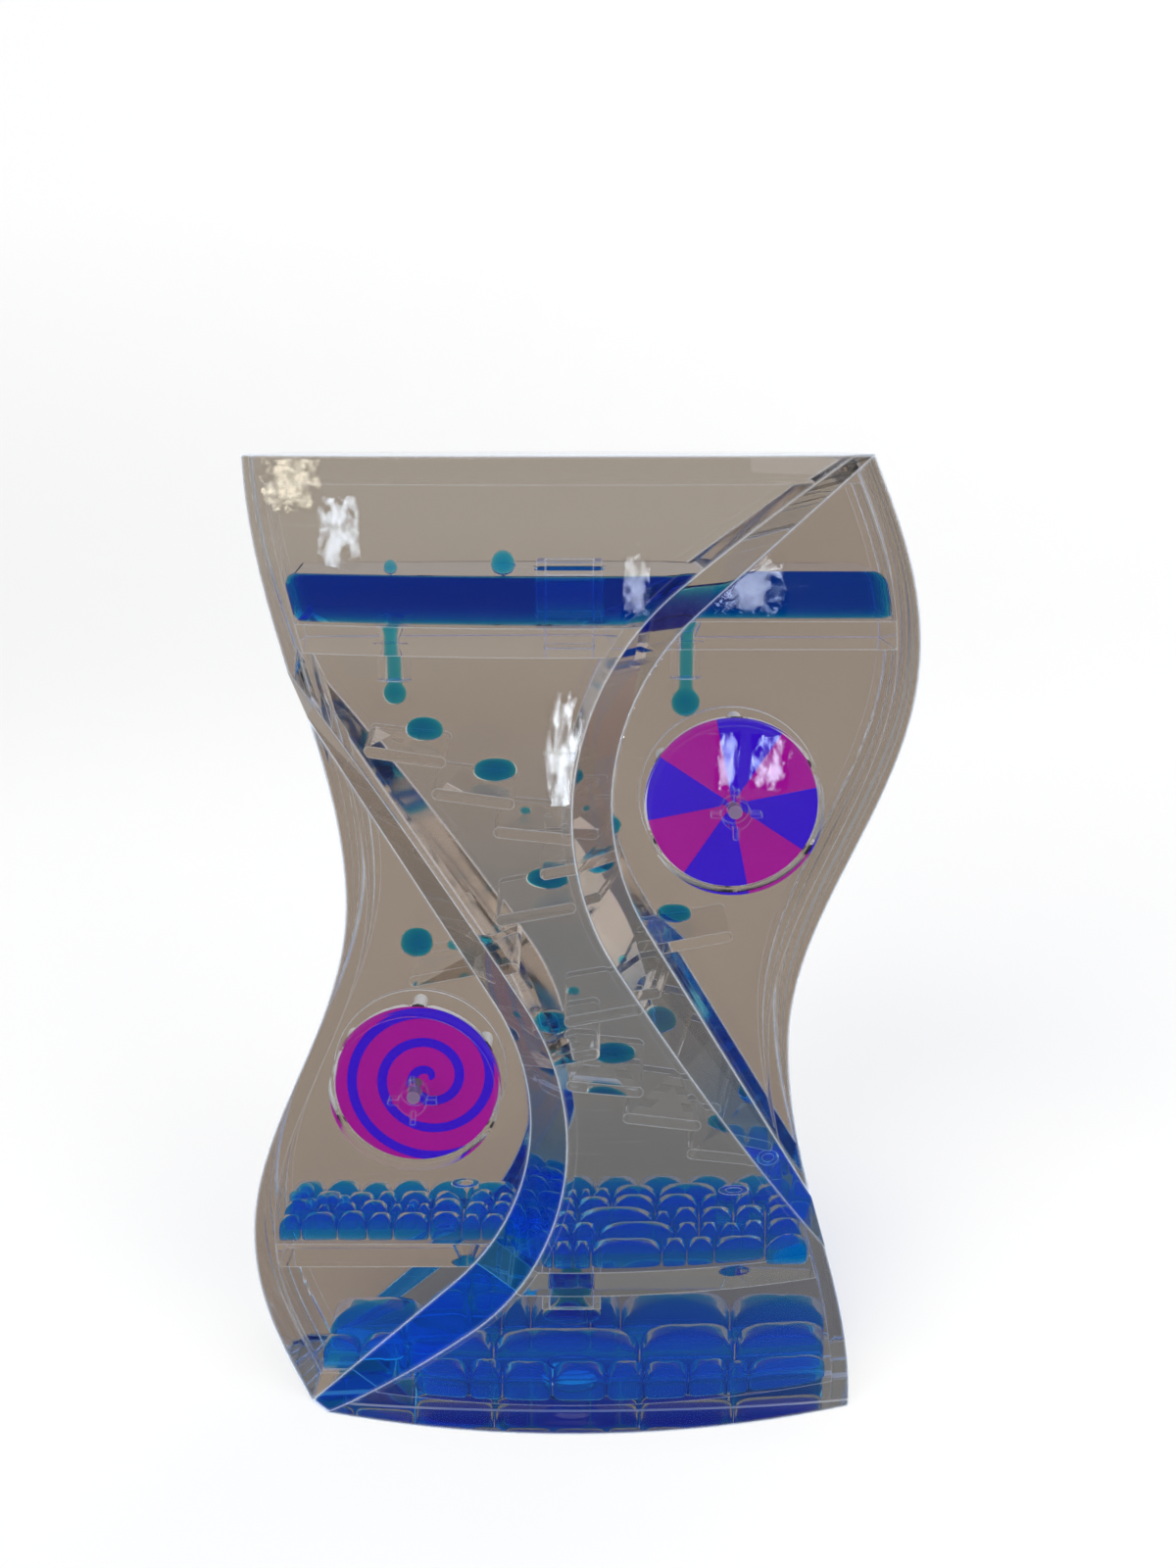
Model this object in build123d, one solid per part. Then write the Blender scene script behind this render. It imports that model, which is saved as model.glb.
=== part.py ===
from build123d import *
import os
from math import cos, radians, sin, sqrt, tan

# Liquid motion timer, in millimetres. X runs to the right, Y away from the viewer, Z up.
# The origin lies under the middle of the case, on the face that it stands on.
# The case looks the same after half a turn about Y through its middle, because it is used both ways up.

# Case
HEIGHT = 145.0
WINDOW_DEPTH = 27.0  # from the front flat window to the rear one
CROWN_RISE = 7.8  # middle of a bulge, measured out from its flat window
CROWN_RADIUS = 145.0  # plan radius of a bulge
SIDE_WALL = 2.8
WINDOW_WALL = 2.8
END_WALL = 3.8
SEAM_Y = 6.0  # plane where the rear shell is bonded to the front shell
TONGUE_WIDTH = 1.0
TONGUE_DEPTH = 1.2
SEAM_FIT = 0.05

# Right side wall, with heights from the middle of the case; the left one is its half turn
TOP_X = 40.8
TOP_LEAN = 24.0  # degrees off upright at the top corner
BELLY_X = 48.4
BELLY_RISE = 45.0
WAIST_X = 32.2
WAIST_DROP = 11.0
FOOT_X = 43.3
CURVE_HANDLE = 0.36  # length of a curve's handles, as a share of its drop

# Notch beside the hourglass bulge, on the right; the left one is its half turn
NECK_X = 5.9  # edge of the hourglass at its narrowest
NOTCH_RADIUS = 36.8
UPPER_RAMP = 42.5  # degrees above level of the edge that runs into the top corner
LOWER_RAMP = 59.2  # degrees below level of the edge that runs into the waist of the side wall
BEVEL = 35.0  # degrees that the wall of the bulge leans in

# Partitions
PARTITION_LOW = 46.0  # underside of the upper partition above the middle of the case
PARTITION_THICKNESS = 4.0
PARTITION_FIT = 0.1
NOZZLE_LEFT_X = -24.2
NOZZLE_RIGHT_X = 16.9
NOZZLE_Y = 3.2
NOZZLE_DIAMETER = 4.6
NOZZLE_LENGTH = 5.5
NOZZLE_BORE = 2.4
FUNNEL_DIAMETER = 5.2
FUNNEL_DEPTH = 3.4
STANDPIPE_WIDTH = 8.8
STANDPIPE_WALL = 1.1
STANDPIPE_HEIGHT = 8.0

# Ledges on the rear shell: x, height above the middle, tilt with the right end up, length.
# These six zigzag down the upper half; their half turns serve the lower half.
LEDGES = (
    (-22.7, 30.9, -8.0, 11.6),
    (-13.3, 24.9, -8.0, 11.6),
    (-4.8, 19.5, -6.0, 11.6),
    (1.5, 14.8, 11.0, 11.6),
    (-4.8, 7.8, 11.0, 11.6),
    (-15.5, -2.0, 11.0, 17.0),
)
LEDGE_THICKNESS = 1.7
LEDGE_FRONT_Y = -8.5

# Wheels: the pinwheel is at upper right, the spiral wheel is its half turn
WHEEL_X = 23.8
WHEEL_RISE = 22.3
WHEEL_FRONT_Y = -5.5
LENS_RADIUS = 13.1
LENS_THICKNESS = 4.5
LENS_RIM_WIDTH = 0.8
LENS_RIM_HEIGHT = 0.4
LABEL_RADIUS = 12.6
LABEL_THICKNESS = 0.2
ROTOR_RADIUS = 12.9
ROTOR_PLATE = 1.0
PADDLE_COUNT = 6
PADDLE_WIDTH = 6.1
PADDLE_THICKNESS = 1.2
PADDLE_TIP_RADIUS = 1.1
PADDLE_TURN = 28.0  # degrees from +X to the first paddle of the pinwheel, seen from the front
HUB_RADIUS = 3.2
FLANGE_RADIUS = 13.6
FLANGE_THICKNESS = 1.2
AXLE_RADIUS = 1.0
AXLE_RUNNING_GAP = 0.06
AXLE_SEAT = 2.4  # length of axle held in each boss
AXLE_SEAT_GAP = 0.02
BOSS_RADIUS = 2.1
BOSS_RIB_REACH = 3.6
BOSS_RIB_THICKNESS = 0.7
END_PLAY = 0.3

# Filling hole and plug in the bottom wall
PLUG_RADIUS = 4.0
PLUG_LIP = 0.8  # width of the lip that the plug seats on
PLUG_LIP_HEIGHT = 1.0
PLUG_RECESS = 0.4
PLUG_FIT = 0.05

# Coloured water
OIL_FILM = 0.3  # oil between the water and whatever it rests on
UPPER_POOL_DEPTH = 6.8
MIDDLE_POOL_DEPTH = 5.0
BOTTOM_POOL_DEPTH = 7.5
STREAM_RADIUS = 0.9
LEFT_BULB_RADIUS = 1.7
LEFT_BULB_DROP = 1.9  # bulb centre below the nozzle tip
RIGHT_BULB_RADIUS = 2.2
RIGHT_BULB_DROP = 3.6
DRAIN_RADIUS = 2.3
DROP_GAP = 0.1

# Drops on each ledge, in the order of the ledges: place along it from its middle, radius, half height
UPPER_DROPS = (
    [(2.0, 2.6, 1.9)],
    [(2.4, 2.9, 1.9)],
    [(-1.7, 0.8, 0.6)],
    [(3.8, 3.0, 1.9)],
    [(2.2, 2.9, 1.7)],
    [(-7.4, 2.6, 2.4), (-1.8, 1.2, 0.9), (2.4, 1.6, 1.0)],
)
LOWER_DROPS = (
    [(0.8, 3.4, 1.5)],
    [],
    [(1.0, 3.2, 1.7)],
    [(-1.0, 3.0, 1.9)],
    [(-4.2, 0.9, 0.7)],
    [(-7.0, 2.5, 2.1), (0.8, 2.7, 1.5)],
)

# Derived places
MIDDLE = HEIGHT / 2
WINDOW_Y = WINDOW_DEPTH / 2
INNER_WINDOW_Y = WINDOW_Y - WINDOW_WALL
OVERCUT = 1.0  # cutting bodies run this far past what they cut
STANDING = (Align.CENTER, Align.CENTER, Align.MIN)  # a body that stands on its own origin
LABEL_Y = WHEEL_FRONT_Y + LENS_THICKNESS
ROTOR_Y = LABEL_Y + LABEL_THICKNESS
PADDLE_Y = ROTOR_Y + ROTOR_PLATE
FLANGE_Y = PADDLE_Y + PADDLE_WIDTH
WHEEL_REAR_Y = FLANGE_Y + FLANGE_THICKNESS
PARTITION_FLOOR = MIDDLE + PARTITION_LOW
PARTITION_TOP = PARTITION_FLOOR + PARTITION_THICKNESS
NOZZLE_TIP = PARTITION_FLOOR - NOZZLE_LENGTH


def facing_front(y):
    """Plane at depth y, seen from the front: local x is X, local y is height above the middle."""
    return Plane(origin=(0, y, MIDDLE), x_dir=(1, 0, 0), z_dir=(0, -1, 0))


def half_turn(shape):
    """The same shape after half a turn of the case about Y."""
    return shape.rotate(Axis((0, 0, MIDDLE), (0, 1, 0)), 180)


def between(shape, low, high):
    """The part of a shape between two heights."""
    size = 4 * HEIGHT
    layer = Pos(0, 0, low) * Box(size, size, high - low, align=STANDING)
    return shape & layer


def upright_curve(start, end, start_slope=0.0):
    """Cubic that ends upright, and starts upright unless it has a slope of x over height."""
    reach = (end[1] - start[1]) * CURVE_HANDLE
    first_handle = (start[0] + start_slope * reach, start[1] + reach)
    last_handle = (end[0], end[1] - reach)
    return Bezier(start, first_handle, last_handle, end)


def case_outline(side_inset, end_inset):
    """S-sided outline of the case seen from the front, drawn in from the outside by the insets."""
    top = (TOP_X - side_inset / cos(radians(TOP_LEAN)), MIDDLE)
    belly = (BELLY_X - side_inset, BELLY_RISE)
    waist = (WAIST_X - side_inset, -WAIST_DROP)
    foot = (FOOT_X - side_inset, -MIDDLE)
    right_wall = [
        upright_curve(top, belly, -tan(radians(TOP_LEAN))),
        upright_curve(belly, waist),
        upright_curve(waist, foot),
    ]
    left_wall = [edge.rotate(Axis.Z, 180) for edge in right_wall]
    bottom = Line(foot, (-top[0], -top[1]))
    lid = Line((-foot[0], -foot[1]), top)
    outline = make_face([*right_wall, bottom, *left_wall, lid])
    return outline & Rectangle(2 * BELLY_X, HEIGHT - 2 * end_inset)


def notch_outline(grow):
    """Flat area to the right of the hourglass: two straight edges and an arc, pushed out by grow."""
    upper = radians(UPPER_RAMP)
    lower = radians(LOWER_RAMP)
    centre_x = NECK_X + NOTCH_RADIUS
    centre_z = MIDDLE + (sin(upper) * (centre_x - TOP_X) - NOTCH_RADIUS) / cos(upper)
    radius = NOTCH_RADIUS + grow
    upper_touch = (centre_x - radius * sin(upper), centre_z + radius * cos(upper))
    neck = (centre_x - radius, centre_z)
    lower_touch = (centre_x - radius * sin(lower), centre_z - radius * cos(lower))
    upper_end = (upper_touch[0] + HEIGHT * cos(upper), upper_touch[1] + HEIGHT * sin(upper))
    lower_end = (lower_touch[0] + HEIGHT * cos(lower), lower_touch[1] - HEIGHT * sin(lower))
    return make_face(
        [
            Line(upper_end, upper_touch),
            ThreePointArc(upper_touch, neck, lower_touch),
            Line(lower_touch, lower_end),
            Line(lower_end, upper_end),
        ]
    )


def notch_cutter(inset):
    """Body that clears the flat window beside the bulge and leaves its wall leaning in."""
    lean = tan(radians(BEVEL))
    window_y = inset - WINDOW_Y
    rise = CROWN_RISE + OVERCUT
    start = inset * (1 / cos(radians(BEVEL)) - lean)
    near = facing_front(window_y) * notch_outline(start)
    far = facing_front(window_y - rise) * notch_outline(start + rise * lean)
    return loft([near, far], ruled=True)


def case_plan(inset):
    """Case seen from above: flat windows with a shallow arc before and behind them."""
    centre_y = CROWN_RADIUS - WINDOW_Y - CROWN_RISE
    radius = CROWN_RADIUS - inset
    window_y = WINDOW_Y - inset
    half_chord = sqrt(radius**2 - (centre_y + window_y) ** 2)
    crown = ThreePointArc((-half_chord, -window_y), (0, centre_y - radius), (half_chord, -window_y))
    front = make_face([crown, Line((half_chord, -window_y), (-half_chord, -window_y))])
    return Rectangle(2 * (BELLY_X + OVERCUT), 2 * window_y) + front + mirror(front, about=Plane.XZ)


def case_form(side_inset, window_inset, end_inset):
    """Whole outer form of the case, or the same form drawn in by the insets."""
    crown_y = WINDOW_Y + CROWN_RISE - window_inset
    front_view = extrude(facing_front(crown_y) * case_outline(side_inset, end_inset), amount=2 * crown_y)
    plan_view = extrude(case_plan(window_inset), amount=HEIGHT)
    right_cutter = notch_cutter(window_inset)
    left_cutter = half_turn(right_cutter)
    form = (front_view & plan_view) - right_cutter - left_cutter
    return form - mirror(right_cutter, about=Plane.XZ) - mirror(left_cutter, about=Plane.XZ)


def seam_ring(gap):
    """Outline of the tongue all round the seam, in the middle of the wall, with a gap each side."""
    outer_side = (SIDE_WALL - TONGUE_WIDTH) / 2 - gap
    outer_end = (END_WALL - TONGUE_WIDTH) / 2 - gap
    inner_side = (SIDE_WALL + TONGUE_WIDTH) / 2 + gap
    inner_end = (END_WALL + TONGUE_WIDTH) / 2 + gap
    return case_outline(outer_side, outer_end) - case_outline(inner_side, inner_end)


def axle_boss(start_y, end_y, seat_y):
    """Round boss for the pinwheel's axle with four ribs, and a blind bore from end_y to seat_y."""
    toward_front = start_y - end_y
    plane = facing_front(start_y)
    place = Pos(WHEEL_X, WHEEL_RISE)
    boss = extrude(plane * place * Circle(BOSS_RADIUS), amount=toward_front)
    rib = Rectangle(2 * BOSS_RIB_REACH, BOSS_RIB_THICKNESS)
    cross = rib + Rot(Z=90) * rib
    ribs = extrude(plane * place * cross, amount=toward_front / 2)
    bore_circle = facing_front(end_y) * place * Circle(AXLE_RADIUS + AXLE_SEAT_GAP)
    return boss + ribs - extrude(bore_circle, amount=end_y - seat_y)


def pinwheel_bosses():
    """Front and rear boss of the pinwheel's axle."""
    front_end = WHEEL_FRONT_Y - END_PLAY
    rear_end = WHEEL_REAR_Y + END_PLAY
    front = axle_boss(-INNER_WINDOW_Y, front_end, front_end - AXLE_SEAT)
    rear = axle_boss(INNER_WINDOW_Y, rear_end, rear_end + AXLE_SEAT)
    return front, rear


def all_ledges():
    """Places of the twelve ledges, upper six first, each as x, height above the middle, tilt, length."""
    turned = [(-x, -rise, tilt, length) for x, rise, tilt, length in LEDGES]
    return [*LEDGES, *turned]


def ledge_bars():
    """Round-ended bars that stand out from the inside of the rear shell, rooted half way into its wall."""
    bars = Sketch()
    for x, rise, tilt, length in all_ledges():
        bars += Pos(x, rise) * SlotOverall(length, LEDGE_THICKNESS, rotation=tilt)
    rear_y = WINDOW_Y + CROWN_RISE
    long_bars = extrude(facing_front(rear_y) * bars, amount=rear_y - LEDGE_FRONT_Y)
    return long_bars & case_form(SIDE_WALL / 2, WINDOW_WALL / 2, END_WALL / 2)


def fill_hole():
    """Stepped hole through the bottom wall, wide from below up to the lip."""
    lip_z = END_WALL - PLUG_LIP_HEIGHT
    wide = Cylinder(PLUG_RADIUS + PLUG_FIT, lip_z, align=STANDING)
    narrow = Cylinder(PLUG_RADIUS - PLUG_LIP, END_WALL, align=STANDING)
    return wide + narrow


def shells():
    """Front and rear shell, split at the seam."""
    hollow_case = case_form(0, 0, 0) - case_form(SIDE_WALL, WINDOW_WALL, END_WALL)
    seam = Plane(origin=(0, SEAM_Y, 0), z_dir=(0, 1, 0))
    front = split(hollow_case, bisect_by=seam, keep=Keep.BOTTOM)
    rear = split(hollow_case, bisect_by=seam, keep=Keep.TOP)
    front_boss, rear_boss = pinwheel_bosses()
    groove = extrude(facing_front(SEAM_Y) * seam_ring(SEAM_FIT), amount=TONGUE_DEPTH + SEAM_FIT)
    tongue = extrude(facing_front(SEAM_Y) * seam_ring(0), amount=TONGUE_DEPTH)
    front = front + front_boss + half_turn(front_boss) - groove - fill_hole()
    rear = rear + rear_boss + half_turn(rear_boss) + tongue + ledge_bars()
    return front, rear


def fill_plug():
    """Plug that seats on the lip of the filling hole, a little inside the bottom face."""
    height = END_WALL - PLUG_LIP_HEIGHT - PLUG_RECESS
    return Pos(0, 0, PLUG_RECESS) * Cylinder(PLUG_RADIUS, height, align=STANDING)


def nozzle(x):
    """Drip nozzle under the upper partition, and the funnel bored through it."""
    tip = Pos(x, NOZZLE_Y, NOZZLE_TIP)
    funnel_low = Pos(x, NOZZLE_Y, PARTITION_TOP - FUNNEL_DEPTH)
    tube = tip * Cylinder(NOZZLE_DIAMETER / 2, NOZZLE_LENGTH, align=STANDING)
    bore = tip * Cylinder(NOZZLE_BORE / 2, NOZZLE_LENGTH + PARTITION_THICKNESS, align=STANDING)
    funnel = funnel_low * Cone(NOZZLE_BORE / 2, FUNNEL_DIAMETER / 2, FUNNEL_DEPTH, align=STANDING)
    return tube, bore + funnel


def standpipe(width, low, high):
    """Square column through the middle of the partition."""
    return Pos(0, 0, low) * Box(width, width, high - low, align=STANDING)


def upper_partition():
    """Shelf across the case with two drip nozzles below and a square standpipe above."""
    form = case_form(SIDE_WALL + PARTITION_FIT, WINDOW_WALL + PARTITION_FIT, END_WALL)
    shelf = between(form, PARTITION_FLOOR, PARTITION_TOP)
    pipe_top = PARTITION_TOP + STANDPIPE_HEIGHT
    shelf += standpipe(STANDPIPE_WIDTH, PARTITION_TOP, pipe_top)
    shelf -= standpipe(STANDPIPE_WIDTH - 2 * STANDPIPE_WALL, PARTITION_FLOOR, pipe_top)
    for x in (NOZZLE_LEFT_X, NOZZLE_RIGHT_X):
        tube, bore = nozzle(x)
        shelf = shelf + tube - bore
    return shelf


def turned_about_axle(profile):
    """Round body about the pinwheel's axle from a profile drawn as radius and depth."""
    plane = Plane(origin=(WHEEL_X, 0, MIDDLE + WHEEL_RISE), x_dir=(1, 0, 0), z_dir=(0, 0, 1))
    axis = Axis((WHEEL_X, 0, MIDDLE + WHEEL_RISE), (0, 1, 0))
    return revolve(plane * profile, axis=axis)


def disc(radius, start_y, thickness):
    """Flat disc with the axle's running bore."""
    bore = AXLE_RADIUS + AXLE_RUNNING_GAP
    profile = Pos(bore, start_y) * Rectangle(radius - bore, thickness, align=(Align.MIN, Align.MIN))
    return turned_about_axle(profile)


def wheel_lens():
    """Thick clear disc over the label, with a thin raised rim at its front."""
    hollow = disc(LENS_RADIUS - LENS_RIM_WIDTH, WHEEL_FRONT_Y - OVERCUT, LENS_RIM_HEIGHT + OVERCUT)
    boss_face = disc(BOSS_RADIUS, WHEEL_FRONT_Y, LENS_RIM_HEIGHT)
    return disc(LENS_RADIUS, WHEEL_FRONT_Y, LENS_THICKNESS) - hollow + boss_face


def wheel_rotor(first_paddle):
    """Plate behind the label with a hub and straight paddles that end in round beads."""
    rotor = disc(ROTOR_RADIUS, ROTOR_Y, ROTOR_PLATE) + disc(HUB_RADIUS, ROTOR_Y, ROTOR_PLATE + PADDLE_WIDTH)
    tip = ROTOR_RADIUS - PADDLE_TIP_RADIUS
    paddle = Pos((tip + HUB_RADIUS) / 2, 0) * Rectangle(tip - HUB_RADIUS + PADDLE_THICKNESS, PADDLE_THICKNESS)
    paddle += Pos(tip, 0) * Circle(PADDLE_TIP_RADIUS)
    for number in range(PADDLE_COUNT):
        angle = first_paddle + number * 360 / PADDLE_COUNT
        place = facing_front(FLANGE_Y) * Pos(WHEEL_X, WHEEL_RISE) * Rot(Z=angle)
        rotor += extrude(place * paddle, amount=PADDLE_WIDTH)
    return rotor


def wheel_axle():
    """Clear pin through the wheel, with both ends in the bosses."""
    start_y = WHEEL_FRONT_Y - END_PLAY - AXLE_SEAT
    end_y = WHEEL_REAR_Y + END_PLAY + AXLE_SEAT
    circle = facing_front(end_y) * Pos(WHEEL_X, WHEEL_RISE) * Circle(AXLE_RADIUS)
    return extrude(circle, amount=end_y - start_y)


def pool(low, depth):
    """Layer of water across the case, kept off the walls by the oil film."""
    form = case_form(SIDE_WALL + OIL_FILM, WINDOW_WALL + OIL_FILM, END_WALL)
    return between(form, low + OIL_FILM, low + depth)


def upper_pool():
    """Water above the upper partition, round the standpipe."""
    above_pool = PARTITION_TOP + UPPER_POOL_DEPTH + OVERCUT
    pipe = standpipe(STANDPIPE_WIDTH + 2 * OIL_FILM, PARTITION_TOP, above_pool)
    return pool(PARTITION_TOP, UPPER_POOL_DEPTH) - pipe


def middle_pool():
    """Water gathered on the lower partition, round its upright nozzles and above its drain."""
    floor = HEIGHT - PARTITION_FLOOR
    layer = pool(floor, MIDDLE_POOL_DEPTH)
    for x in (NOZZLE_LEFT_X, NOZZLE_RIGHT_X):
        foot = Pos(-x, NOZZLE_Y, floor)
        layer -= foot * Cylinder(NOZZLE_DIAMETER / 2 + OIL_FILM, NOZZLE_LENGTH, align=STANDING)
    return layer


def bottom_pool():
    """Water that has drained to the bottom."""
    return pool(END_WALL, BOTTOM_POOL_DEPTH)


def stream(x, bulb_radius, bulb_drop):
    """Thread of water down a nozzle that ends in a round bulb."""
    bulb_z = NOZZLE_TIP - bulb_drop
    thread_top = PARTITION_TOP - OIL_FILM
    bulb_centre = Pos(x, NOZZLE_Y, bulb_z)
    thread = bulb_centre * Cylinder(STREAM_RADIUS, thread_top - bulb_z, align=STANDING)
    return thread + bulb_centre * Sphere(bulb_radius)


def drain_stream():
    """Column of water through the lower partition's drain, down to the bottom pool."""
    high = HEIGHT - PARTITION_FLOOR
    low = END_WALL + BOTTOM_POOL_DEPTH + OIL_FILM
    return Pos(0, 0, low) * Cylinder(DRAIN_RADIUS, high - low, align=STANDING)


def flattened_drop(radius, half_height):
    """Round drop, wider than it is high."""
    return scale(Sphere(1), by=(radius, radius, half_height))


def ledge_drops():
    """Drops that roll on the ledges, each just clear of the top of its bar."""
    drops = []
    for (x, rise, tilt, _), drops_here in zip(all_ledges(), [*UPPER_DROPS, *LOWER_DROPS]):
        slope = radians(tilt)
        for along, radius, half_height in drops_here:
            contact = sqrt((radius * sin(slope)) ** 2 + (half_height * cos(slope)) ** 2)
            above = LEDGE_THICKNESS / 2 + DROP_GAP + contact
            drop_x = x + along * cos(slope) - above * sin(slope)
            drop_z = MIDDLE + rise + along * sin(slope) + above * cos(slope)
            drops.append(Pos(drop_x, NOZZLE_Y, drop_z) * flattened_drop(radius, half_height))
    return Compound(children=drops)


def wheel_pieces(name, first_paddle):
    """Pieces of one wheel at the pinwheel's place, by node name."""
    return {
        f"{name}_lens": wheel_lens(),
        f"{name}_label": disc(LABEL_RADIUS, LABEL_Y, LABEL_THICKNESS),
        f"{name}_rotor": wheel_rotor(first_paddle),
        f"{name}_flange": disc(FLANGE_RADIUS, FLANGE_Y, FLANGE_THICKNESS),
        f"{name}_axle": wheel_axle(),
    }


def build_parts():
    """Every node of the timer, by name."""
    front, rear = shells()
    partition = upper_partition()
    parts = {
        "front_shell": front,
        "rear_shell": rear,
        "upper_partition": partition,
        "lower_partition": half_turn(partition),
        "fill_plug": fill_plug(),
        **wheel_pieces("pinwheel", PADDLE_TURN),
    }
    for name, piece in wheel_pieces("spiral_wheel", PADDLE_TURN).items():
        parts[name] = half_turn(piece)
    parts["upper_pool"] = upper_pool()
    parts["middle_pool"] = middle_pool()
    parts["bottom_pool"] = bottom_pool()
    parts["left_stream"] = stream(NOZZLE_LEFT_X, LEFT_BULB_RADIUS, LEFT_BULB_DROP)
    parts["right_stream"] = stream(NOZZLE_RIGHT_X, RIGHT_BULB_RADIUS, RIGHT_BULB_DROP)
    parts["drain_stream"] = drain_stream()
    parts["ledge_drops"] = ledge_drops()
    return parts


os.makedirs("parts", exist_ok=True)
for node, shape in build_parts().items():
    export_step(shape, f"parts/{node}.step")
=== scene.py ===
from math import cos, hypot, pi, radians, sin

import bmesh
import bpy
import numpy as np
from bpy.props import FloatProperty, FloatVectorProperty, PointerProperty
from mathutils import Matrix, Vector
from mathutils.bvhtree import BVHTree


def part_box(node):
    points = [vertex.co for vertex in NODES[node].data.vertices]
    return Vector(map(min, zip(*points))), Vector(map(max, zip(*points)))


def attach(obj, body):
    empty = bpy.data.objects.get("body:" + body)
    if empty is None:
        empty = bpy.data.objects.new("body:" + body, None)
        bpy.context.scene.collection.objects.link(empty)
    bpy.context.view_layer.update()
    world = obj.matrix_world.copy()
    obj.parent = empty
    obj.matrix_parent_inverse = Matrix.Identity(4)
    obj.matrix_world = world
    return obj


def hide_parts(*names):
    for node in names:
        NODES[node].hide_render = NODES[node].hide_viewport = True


bl_info = {
    "name": "Liquid motion timer",
    "version": (1, 0, 0),
    "blender": (4, 5, 0),
    "location": "3D View > Sidebar > Timer",
    "description": "Clear case, coloured water, printed wheels and stage of a liquid motion timer",
    "category": "Object",
}

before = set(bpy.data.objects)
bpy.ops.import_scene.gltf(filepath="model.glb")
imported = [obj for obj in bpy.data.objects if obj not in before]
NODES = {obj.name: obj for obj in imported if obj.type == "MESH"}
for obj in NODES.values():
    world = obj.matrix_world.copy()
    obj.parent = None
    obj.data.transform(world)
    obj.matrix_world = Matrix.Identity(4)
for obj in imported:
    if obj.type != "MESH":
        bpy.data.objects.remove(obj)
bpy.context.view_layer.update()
MM = 0.001
FAR = 1.0  # start of a feeling ray, well outside the timer

# Optics, as ratios of refractive index
ACRYLIC_IN_AIR = 1.49
WALL_IN_OIL = 1.02
LEDGE_IN_OIL = 1.10
DISC_IN_OIL = 1.03
BOSS_IN_OIL = 1.008
WATER_IN_OIL = 0.945

# Clear plastic in the oil: ratio of refractive index, and strength of the painted highlights, pale lines on
# its edges;
# then the fine waves of its surface and the ripples of the water
CLEAR_PLASTIC = {
    "acrylic_inside": (WALL_IN_OIL, 0.3),
    "acrylic_ledges": (LEDGE_IN_OIL, 0.95),
    "acrylic_shelves": (LEDGE_IN_OIL, 0.45),
    "acrylic_discs": (DISC_IN_OIL, 0.05),
    "acrylic_bosses": (BOSS_IN_OIL, 0.15),
    "rotor_rim": (DISC_IN_OIL, 0.05),
}
INNER_WAVE_SCALE = 160.0
INNER_WAVE_HEIGHT = 0.02 * MM
RIPPLE_SCALE = 300.0
RIPPLE_HEIGHT = 0.01 * MM

# Colour that a lamp's light takes on when it passes a material
PAST_OUTSIDE = (0.84, 0.83, 0.82)
PAST_INSIDE = (0.99, 0.99, 0.99)
PAST_PIN = (0.8, 0.8, 0.8)
PAST_WATER = (0.35, 0.65, 0.92)

# Outside of the case
EDGE_ROUND = 0.9 * MM  # radius to which the moulded edges look rounded
EDGE_PAINTED_HIGHLIGHT = 0.75  # strength of the painted highlights, pale lines on the outer edges
PAINTED_HIGHLIGHT_COLOUR = (0.72, 0.79, 0.9, 1.0)  # colour of the painted highlights in an edge
WAVE_SCALE = 90.0
WAVE_HEIGHT = 0.004 * MM
SCRATCH_HAZE = 0.12  # roughness that a scratch adds
STEP_HAZE = (0.03, 0.08)  # roughness of the steps at the edges of the front and rear bulges

# Heights between which the tints of the side walls, the rear bulge and the steps change; low on the walls
# and steps the tint is a painted blue glow of the water, and on the rear bulge it is painted shade below
# and painted light above
WALL_HEIGHTS = (2 * MM, 11 * MM, 45 * MM)
BULGE_HEIGHTS = (70 * MM, 108 * MM, 132 * MM)
STEP_HEIGHTS = (32 * MM, 62 * MM)
FOOT_POWER = 1.5  # how much deeper the painted blue glow is at the very foot of a wall

# Shells, and the gap at the bonded seam between them
SHELLS = ("front_shell", "rear_shell")
SEAM_GAP = 0.2 * MM
SEAM_FACING = 0.9  # least forward part of the normal of a face of the seam
WINDOW_FACING = 0.8  # least forward part of the normal of a window's face
BESIDE = 1.0 * MM  # way off a face, to tell a step in a window from a side wall
BULGE_DEPTH = 15 * MM  # way of a bulge's face from the middle plane, beyond the flat windows

# Numbers of a shell's materials
WINDOW, INSIDE, SEAM, WALL, STEP, MOULDED, BULGE = range(7)

# Clear pieces that lie in the oil
CASE_INSIDES = ("upper_partition", "lower_partition", "fill_plug")
WHEELS = ("pinwheel", "spiral_wheel")
BOSS_REACH = 4.5 * MM  # way from an axle to the ends of the ribs on its bosses
ROTOR_RIM = 1.2 * MM  # depth of the clear rim of a rotor behind its print

# Pools: share of the light that the water scatters, and strength of its dye
POOL_LOOKS = {"upper_pool": (0.05, 0.8), "middle_pool": (0.12, 1.0), "bottom_pool": (0.15, 0.7)}

# Seeds of the uneven water
MIDDLE_SEED = 3
BOTTOM_SEED = 8
DROP_SEED = 5

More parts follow.
